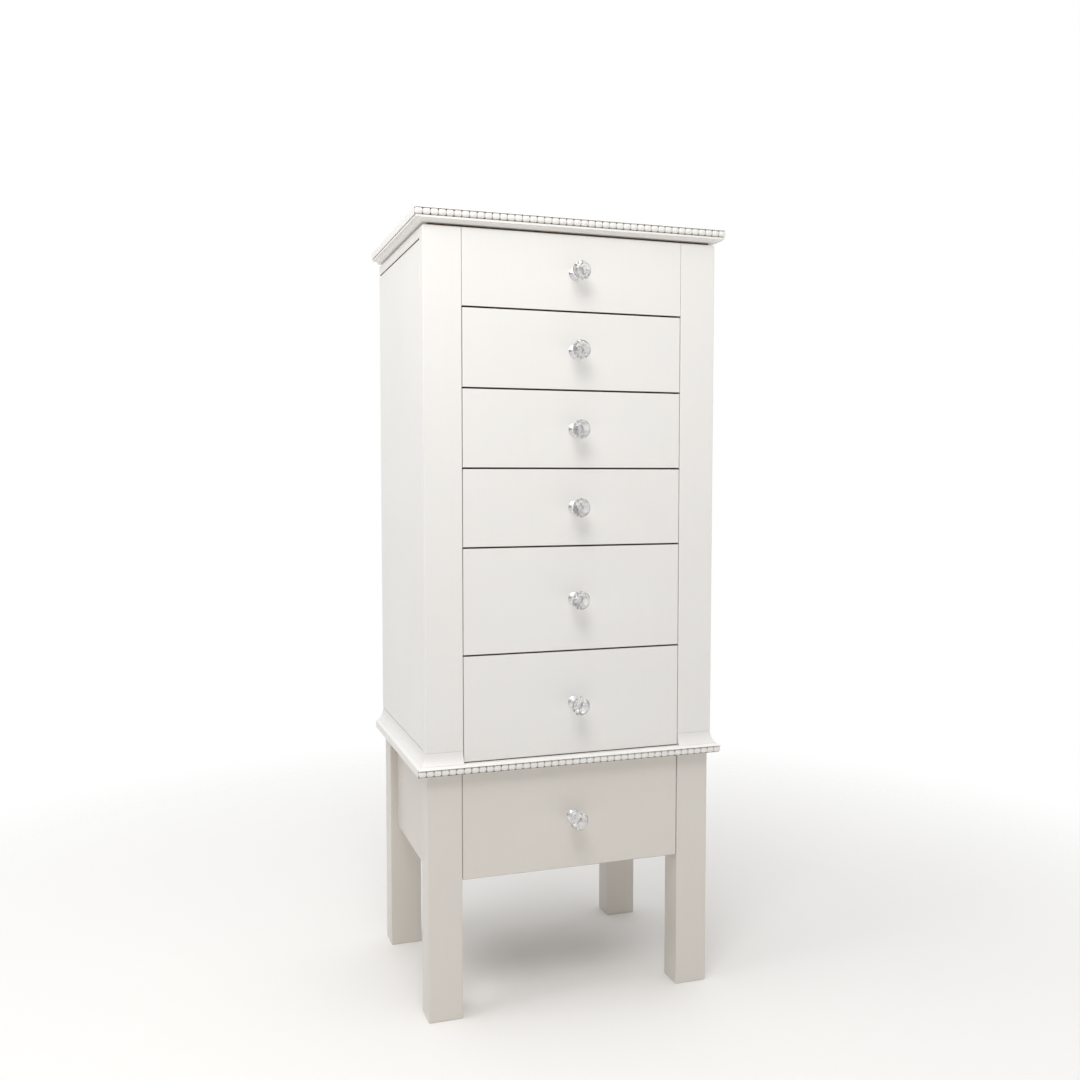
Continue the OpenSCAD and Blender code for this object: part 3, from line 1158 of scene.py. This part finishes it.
@dataclass
class RingWell:
    """The padded rolls for rings at the front of the well."""

    finishes: Finishes
    rolls: int = 6
    inset: float = 1.0 * MM
    across: int = 90
    along: int = 16
    voxel: float = 2.6 * MM
    frames: int = 20
    most: float = 2.5 * MM

    def make(self) -> None:
        """Makes the cushion as one crowned form: a row of rolls that pinch together between their ends."""
        low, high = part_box("ring_cushion")
        low, high = low + Vector((self.inset, self.inset, 0)), high - Vector((self.inset, self.inset, 0))
        rings = []
        steps = self.rolls * self.along
        for number in range(self.across + 1):
            share = number / self.across
            end = min(share, 1 - share) * (high.x - low.x)
            fall = min(1.0, end / (9 * MM))
            crown = math.sqrt(1 - (1 - fall) ** 2)
            x = low.x + share * (high.x - low.x)
            ring = []
            for step in range(steps + 1):
                phase = step / self.along
                hump = abs(math.sin(math.pi * phase)) ** 0.55
                y = low.y + step / steps * (high.y - low.y)
                wrinkle = noise.noise(Vector((x * 60, y * 60, 3.0))) * 0.5 * MM
                height = (high.z - low.z - 1.2 * MM) * (0.42 + 0.58 * hump * (0.35 + 0.65 * crown))
                ring.append((x, y, low.z + height + wrinkle * hump))
            ring += [(x, high.y, low.z), (x, low.y, low.z)]
            rings.append(ring)
        shape = Shape()
        shape.rings(rings, Matrix())
        piece = shape.piece("ring_rolls", [self.finishes.velvet], 70.0)
        self._swell(piece, low, high)
        dressed(piece, "cabinet", ["ring_cushion"])


    def _swell(self, piece: bpy.types.Object, low: Vector, high: Vector) -> None:
        """Lets the cushion swell under pressure as cloth, within its own space and off its flat base.

        Args:
            piece: The cushion.
            low: The lowest corner of its space.
            high: The highest corner of its space.
        """
        remesh = piece.modifiers.new("even_weave", "REMESH")
        remesh.mode = "VOXEL"
        remesh.voxel_size = self.voxel
        remesh.use_smooth_shade = True
        settled(piece)
        start = [vert.co.copy() for vert in piece.data.vertices]
        cloth = piece.modifiers.new("swelling", "CLOTH")
        cloth.settings.use_pressure = True
        cloth.settings.uniform_pressure_force = 4.0
        cloth.settings.effector_weights.gravity = 0.0
        cloth.settings.quality = 6
        cloth.point_cache.frame_end = self.frames
        for number in range(1, self.frames + 1):
            bpy.context.scene.frame_set(number)
        settled(piece)
        for vert, before in zip(piece.data.vertices, start):
            move = vert.co - before
            share = min(1.0, (before.z - low.z) / (6 * MM))
            after = before + move * min(1.0, self.most / max(move.length, 1e-9)) * share
            vert.co = [min(max(after[axis], low[axis]), high[axis]) for axis in range(3)]
        piece.data.update()
        bpy.context.scene.frame_set(1)


@dataclass
class Lid:
    """The lid: top board, moulded frame with its mirror, and the beading along the front."""

    finishes: Finishes
    beads: BeadRow

    def make(self) -> None:
        """Makes the lid."""
        finishes = [self.finishes.lacquer, self.finishes.raw]
        # painted shade behind the beads and in the shadow line round the board's edge
        board("lid_board", "lid", finishes, 0.5 * MM, self._edges)
        # painted shade on the upright wall of the rebate, to darken the gap over the body
        board("lid_frame", "lid", finishes, 0.4 * MM, self._rebate)
        self.beads.row("lid_beading", "lid", self.finishes.lacquer)
        self._silver()

    @staticmethod
    def _edges(middle: Vector, way: Vector) -> int:
        """1, painted shade, behind the beads and in the shadow line round the lid's edge, and 0 elsewhere."""
        if shade_behind_beads("lid_beading")(middle, way):
            return 1
        low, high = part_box("lid_board")
        set_in = abs(middle.x) < high.x - MM and middle.y > low.y + MM
        return int(abs(way.z) < 0.1 and way.y < 0.1 and set_in and middle.z < low.z + 1.5 * MM)

    @staticmethod
    def _rebate(middle: Vector, way: Vector) -> int:
        """1, painted shade, on the upright wall of the shallow rebate over the body, and 0 elsewhere."""
        deep, reach, back = 1.9 * MM, 0.192, 0.007
        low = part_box("lid_frame")[0].z
        upright = abs(way.z) < 0.1 and way.y < 0.1
        x, y = abs(middle.x), middle.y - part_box("top_panel")[0].y
        return int(upright and middle.z < low + deep and x < reach and y < back)

    def _silver(self) -> None:
        """Dresses the mirror."""
        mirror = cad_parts["mirror"]
        mirror.data.materials.clear()
        mirror.data.materials.append(self.finishes.mirror)


@dataclass
class SidePanel:
    """One hinged side panel with its hooks, strike plate and two hanging cords."""

    hand: Hand
    finishes: Finishes
    screws: Screws
    hook_rows: tuple[float, ...] = (0.932, 0.572)
    hook_places: tuple[float, ...] = (0.058, 0.116, 0.175)
    cord_radius: float = 1.5 * MM
    strands: int = 3
    twist: float = 9 * MM
    stand_off: float = 5 * MM
    screw_height: float = 0.773
    drop: float = 0.284
    # distance out of the panel and height, in mm, of each point of a hook's two prongs
    long_prong: tuple[tuple[float, float], ...] = (
        (1.2, 3.6), (2.6, 4.6), (4.4, 6.4), (6.4, 8.8), (8.6, 11.4), (10.8, 13.6), (12.9, 15.7),
    )
    short_prong: tuple[tuple[float, float], ...] = (
        (1.2, -7.2), (3.2, -8.0), (5.4, -8.3), (7.6, -8.1), (9.4, -7.0), (10.3, -5.2), (10.5, -2.4),
    )
    # distance from the hinge edge of the panel and height of each point of the upper cord
    route: tuple[tuple[float, float], ...] = (
        (0.228, 0.760), (0.2275, 0.754), (0.226, 0.747), (0.2225, 0.740), (0.217, 0.7345),
        (0.209, 0.729), (0.199, 0.7235), (0.187, 0.7175), (0.174, 0.711), (0.160, 0.704),
        (0.146, 0.6975), (0.133, 0.693), (0.120, 0.6905), (0.107, 0.690), (0.094, 0.692),
        (0.081, 0.6965), (0.068, 0.7025), (0.055, 0.710), (0.044, 0.718), (0.0345, 0.727),
        (0.027, 0.737), (0.0225, 0.747), (0.0212, 0.754), (0.021, 0.760),
    )

    body: str = field(init=False)
    inner: float = field(init=False)
    front: float = field(init=False)
    rear: float = field(init=False)
    top: float = field(init=False)

    def __post_init__(self) -> None:
        """Finds the panel's inner face and edges in the model, as on the left side."""
        self.body = f"door_{self.hand.word}"
        low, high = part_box(self.body)
        self.inner = -min(abs(low.x), abs(high.x))
        self.front, self.rear, self.top = low.y, high.y, high.z

    def spot(self, out: float, y: float, z: float) -> Matrix:
        """A frame on the panel's inner face, with X out of it, at this panel's own side."""
        return self.hand.place @ Matrix.Translation((self.inner + out, y, z))

    def make_cords(self) -> None:
        for label, drop in (("upper", 0.0), ("lower", self.drop)):
            points = [
                self.spot(self.stand_off, self.rear - back, height - drop).translation.copy()
                for back, height in self.route
            ]
            path = curve_through(points, 10)
            node = f"cord_{label}_{self.hand.word}"
            piece = self._twisted(node + "_twist", path)
            dressed(piece, self.body, [node])
            length = sum((after - before).length for before, after in zip(path, path[1:]))
            LOG.info("%s is %.0f mm long", node, length / MM)

    def _twisted(self, name: str, path: Sequence[Vector]) -> bpy.types.Object:
        """A three-strand twisted cord along a path in a plane across X.

        Args:
            name: The piece's name.
            path: Points along its middle.

        Returns:
            The piece, with a "crown" attribute that is 1 on top of a strand and 0 between two.
        """
        sides = 18
        strand = 0.464 * self.cord_radius
        reach = self.cord_radius - strand
        shape, crowns, rings, run = Shape(), [], [], 0.0
        across = Vector((1, 0, 0))
        for number, spot in enumerate(path):
            before, after = path[max(number - 1, 0)], path[min(number + 1, len(path) - 1)]
            run += (spot - before).length
            up = (after - before).normalized().cross(across)
            ring = []
            for side in range(sides):
                turn = math.tau * side / sides
                lobe = (turn - math.tau * run / self.twist) % (math.tau / self.strands)
                lean = lobe - math.pi / self.strands
                radius = reach * math.cos(lean) + math.sqrt(
                    max(0.0, strand**2 - (reach * math.sin(lean)) ** 2)
                )
                radius = max(radius, 0.7 * self.cord_radius)
                ring.append(spot + radius * (math.cos(turn) * across + math.sin(turn) * up))
                crowns.append((radius / self.cord_radius - 0.7) / 0.3)
            rings.append(ring)
        shape.rings(rings, Matrix())
        piece = shape.piece(name, [self.finishes.cord], 70.0)
        crown = piece.data.attributes.new("crown", "FLOAT", "POINT")
        crown.data.foreach_set("value", crowns)
        return piece

    def make(self) -> None:
        """Makes the panel and its fittings."""
        board(self.body, self.body, [self.finishes.lacquer], 1.0 * MM)
        self._hooks()
        self._strike()
        self._cord_ends()

    def _hook_spots(self) -> list[Matrix]:
        """A frame for each hook."""
        return [
            self.spot(0.0, self.front + place, height)
            for height in self.hook_rows
            for place in self.hook_places
        ]

    def _hooks(self) -> None:
        """Double hooks: a pill-shaped plate, a long prong above and a short curled one below."""
        shape = Shape()
        for spot in self._hook_spots():
            place = spot @ Matrix.Scale(MM, 4)
            shape.rings(pill_rings(9.0, 23.0, 2.0, 0.6), place)
            shape.bar([(out, 0, height) for out, height in self.long_prong], 1.45, place)
            shape.ball(2.2, place @ Matrix.Translation((12.9, 0, 15.7)))
            shape.bar([(out, 0, height) for out, height in self.short_prong], 1.4, place)
            shape.ball(2.0, place @ Matrix.Translation((10.5, 0, -2.0)))
        piece = shape.piece(f"hooks_{self.hand.word}_double", [self.finishes.chrome])
        dressed(piece, self.body, [f"hooks_{self.hand.word}"])
        facing = Facing.RIGHT if self.hand is Hand.LEFT else Facing.LEFT
        places = [
            (spot @ Vector((2.2 * MM, 0, height * MM)), facing)
            for spot in self._hook_spots()
            for height in (-0.6, 8.6)
        ]
        strike = self._strike_spot()
        places.append((strike @ Vector((1.6 * MM, 0, 0)), facing))
        self.screws.set(
            f"hook_screws_{self.hand.word}", self.body, "chrome", self.finishes.nickel, places, 1.9 * MM
        )

    def _strike_spot(self) -> Matrix:
        """A frame for the strike plate."""
        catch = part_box("magnet_catches")
        middle = (catch[0].y + catch[1].y) / 2
        return self.spot(0.0, middle, self.top - 7.5 * MM)

    def _strike(self) -> None:
        """The strike plate of the magnetic catch."""
        shape = Shape()
        turn = Matrix.Rotation(math.radians(90), 4, "X")
        shape.rings(pill_rings(11.0, 37.0, 1.4, 0.5), self._strike_spot() @ turn @ Matrix.Scale(MM, 4))
        piece = shape.piece(f"strike_plate_{self.hand.word}", [self.finishes.nickel])
        dressed(piece, self.body, [f"fittings_{self.hand.word}"])

    def _cord_ends(self) -> None:
        """The round-headed screws and dark sleeves that hold the cords."""
        shape = Shape()
        out = Matrix.Rotation(math.radians(90), 4, "Y")
        for drop in (0.0, self.drop):
            for back, height in (self.route[0], self.route[-1]):
                place = self.spot(0.0, self.rear - back, self.screw_height - drop) @ Matrix.Scale(MM, 4)
                washer = [(0, 0), (3.5, 0), (3.5, 0.7), (2.8, 1.2), (1.3, 1.4), (1.3, 5.0), (0, 5.0)]
                shape.turned(washer, place @ out, 24)
                shape.ball(2.7, place @ Matrix.Translation((5, 0, 0)))
                low = (height - self.screw_height) / MM
                sleeve = [(0, low), (1.8, low), (2.0, low + 0.4), (2.0, low + 2.2), (1.75, low + 2.6)]
                sleeve += [(1.75, low + 9.6), (2.0, low + 10.0), (1.9, -1.6), (0, -1.4)]
                shape.turned(sleeve, place @ Matrix.Translation((5, 0, 0)), 24)
        piece = shape.piece(f"cord_ends_{self.hand.word}", [self.finishes.dark_metal])
        dressed(piece, self.body, [f"fittings_{self.hand.word}"])


def pill_rings(width: float, height: float, thick: float, ease: float) -> list[list[Point]]:
    """Rings of a flat plate with round ends, lying across X with its eased face outwards.

    Args:
        width: Its width, along Y.
        height: Its height, along Z.
        thick: Its thickness, along X from 0.
        ease: Radius of its outer edge.

    Returns:
        The rings, from the back to the front.
    """
    rings = []
    half = (height - width) / 2
    for out, inset in ((0.0, 0.0), (thick - ease, 0.0), (thick - ease * 0.3, ease * 0.3), (thick, ease)):
        radius = width / 2 - inset
        ring = []
        for step in range(32):
            turn = math.tau * (step + 0.5) / 32
            rise = half if math.sin(turn) > 0 else -half
            ring.append((out, radius * math.cos(turn), rise + radius * math.sin(turn)))
        rings.append(ring)
    return rings


@dataclass
class Drawer:
    """One drawer: its front, its box with a velvet floor, and its knob."""

    number: int
    finishes: Finishes
    knob: Knob

    def make(self) -> None:
        """Makes the drawer."""
        body = f"drawer_{self.number}"
        low = self.number == 6
        # the low drawer's front takes the painted-shade copy of the lacquer
        face = self.finishes.base_lacquer if low else self.finishes.lacquer
        front = f"drawer_front_{self.number}"
        # painted shade on the front's lower edge, to darken the seam below it
        board(front, body, [face, self.finishes.raw], 1.0 * MM, shaded_underside_edge)
        box = f"drawer_box_{self.number}"
        floor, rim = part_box(box)

        def choose(middle: Vector, way: Vector) -> int:
            """Velvet on the floor of the box."""
            return int(way.z > 0.9 and middle.z < (floor.z + rim.z) / 2)

        board(box, body, [self.finishes.inside, self.finishes.velvet], 0.8 * MM, choose)
        self.knob.make(f"knob_{self.number}", body)


@dataclass
class Hinges:
    """The hinges keep the model's shapes and get a satin nickel finish."""

    finishes: Finishes

    def make(self) -> None:
        """Dresses the hinge nodes."""
        leaves = ("lid_hinge_leaves", "hinge_leaves_left", "hinge_leaves_right")
        for node in ("hinge_plates", "hinge_pins", *leaves):
            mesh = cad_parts[node].data
            mesh.materials.clear()
            mesh.materials.append(self.finishes.nickel)
            LOG.info("%s dressed", node)


@dataclass
class Studio:
    """Camera, plain pale floor and soft lights."""

    azimuth: float = -18.56
    elevation: float = 3.35
    distance: float = 1.548
    target: tuple[float, float, float] = (0.0019, 0.01385, 0.6025)
    lens: float = 36.5
    walls: Colour = (0.05, 0.038, 0.03, 1.0)
    ceiling: Colour = (0.43, 0.43, 0.43, 1.0)
    reflected: Colour = (0.92, 0.92, 0.92, 1.0)
    ground: Colour = (0.9, 0.89, 0.87, 1.0)

    def make_camera(self) -> None:
        """Makes the camera."""
        turn, rise = math.radians(self.azimuth), math.radians(self.elevation)
        back = Vector((math.sin(turn) * math.cos(rise), -math.cos(turn) * math.cos(rise), math.sin(rise)))
        camera = bpy.data.objects.new("camera", bpy.data.cameras.new("camera"))
        camera.data.lens = self.lens
        camera.data.sensor_width = 36.0
        camera.location = Vector(self.target) + back * self.distance
        camera.rotation_euler = (-back).to_track_quat("-Z", "Y").to_euler()
        bpy.context.scene.collection.objects.link(camera)
        bpy.context.scene.camera = camera

    def _lamp(self, name: str, place: Point, aim: Point, size: float, power: float, tint: Point) -> None:
        """One soft square light.

        Args:
            name: Its name.
            place: Where it stands.
            aim: What it points at.
            size: Its side.
            power: Its power in watts.
            tint: Its colour.
        """
        light = bpy.data.lights.new(name, "AREA")
        light.size = size
        light.energy = power
        light.color = tint
        lamp = bpy.data.objects.new(name, light)
        lamp.location = place
        lamp.rotation_euler = (Vector(aim) - Vector(place)).to_track_quat("-Z", "Y").to_euler()
        bpy.context.scene.collection.objects.link(lamp)

    def make_stage(self) -> None:
        """Makes the floor, the lights and the pale surroundings."""
        mesh = bpy.data.meshes.new("floor")
        corners = [(14 * x, 14 * y, 0) for x, y in ((-1, -1), (1, -1), (1, 1), (-1, 1))]
        mesh.from_pydata(corners, [], [[0, 1, 2, 3]])
        shader = Shader("pale_floor")
        grain = shader.noise(900.0, 2.0)
        reach = shader.node("ShaderNodeVectorMath", {"operation": "LENGTH"}, {0: shader.place}, out="Value")
        smooth = {"interpolation_type": "SMOOTHSTEP"}
        near = shader.node("ShaderNodeMapRange", smooth, {0: reach, 1: 0.45, 2: 1.5, 3: 1.0, 4: 0.0})
        tone = shader.mix(grain * 0.1, srgb(236, 235, 233), srgb(250, 250, 250))
        mesh.materials.append(shader.finish({"Base Color": tone, "Roughness": 0.8, "Alpha": near}))
        linked("floor", mesh)
        self._lamp("key_light", (-0.4, -0.95, 1.6), (0, -0.13, 0.85), 0.6, 8.0, (1.0, 0.99, 0.975))
        self._lamp("side_light", (-1.05, -0.15, 1.6), (-0.19, 0, 0.75), 0.6, 5.5, (1.0, 0.99, 0.975))
        overhead = bpy.data.lights.new("overhead_light", "SUN")
        overhead.energy = 1.36
        overhead.angle = math.radians(70)
        bpy.context.scene.collection.objects.link(bpy.data.objects.new("overhead_light", overhead))
        bpy.context.scene.world = self._room()
        bpy.context.scene.view_settings.view_transform = "Standard"

    def _room(self) -> bpy.types.World:
        """Surroundings like a pale room with dark side walls and a pale floor, and plain white behind."""
        world = bpy.data.worlds.new("pale_room")
        world.use_nodes = True
        room = Tree(world.node_tree)
        way = room.node("ShaderNodeTexCoord", out="Generated")
        height = room.node("ShaderNodeSeparateXYZ", None, {0: way}, out=2)
        sideways = abs(room.node("ShaderNodeSeparateXYZ", None, {0: way}, out=0))
        smooth = {"interpolation_type": "SMOOTHSTEP"}
        above = room.node("ShaderNodeMapRange", smooth, {0: height, 1: 0.1, 2: 0.45})
        beside = room.node("ShaderNodeMapRange", smooth, {0: sideways, 1: 0.5, 2: 0.8})
        settings = {"data_type": "RGBA"}
        soft = room.node("ShaderNodeLightPath", out="Is Diffuse Ray")
        pale = room.node("ShaderNodeMix", settings, {0: soft, 6: self.reflected, 7: self.ceiling}, out=2)
        walls = beside * (1.0 - above)
        glow = room.node("ShaderNodeMix", settings, {0: walls, 6: pale, 7: self.walls}, out=2)
        upward = room.node("ShaderNodeMapRange", smooth, {0: height, 1: -0.12, 2: 0.0})
        glow = room.node("ShaderNodeMix", settings, {0: upward, 6: self.ground, 7: glow}, out=2)
        seen = room.node("ShaderNodeLightPath", out="Is Camera Ray")
        shown = room.node("ShaderNodeMix", settings, {0: seen, 6: glow, 7: (1.0, 1.0, 1.0, 1.0)}, out=2)
        surface = room.node("ShaderNodeBackground", None, {"Color": shown})
        room.node("ShaderNodeOutputWorld", None, {"Surface": surface})
        return world


def main() -> None:
    """Builds the armoire's looks in order."""
    logging.basicConfig(level=logging.INFO, format="%(name)s: %(message)s")
    studio = Studio()
    studio.make_camera()
    finishes = Finishes()
    screws, beads, knob = Screws(), BeadRow(), Knob(finishes)
    panels = [SidePanel(hand, finishes, screws) for hand in Hand]
    for panel in panels:
        panel.make_cords()
    for panel in panels:
        panel.make()
    Base(finishes, beads).make()
    Carcass(finishes, screws, knob).make()
    RingWell(finishes).make()
    Lid(finishes, beads).make()
    for number in range(1, 7):
        Drawer(number, finishes, knob).make()
    Hinges(finishes).make()
    studio.make_stage()


if __name__ == "__main__":
    main()
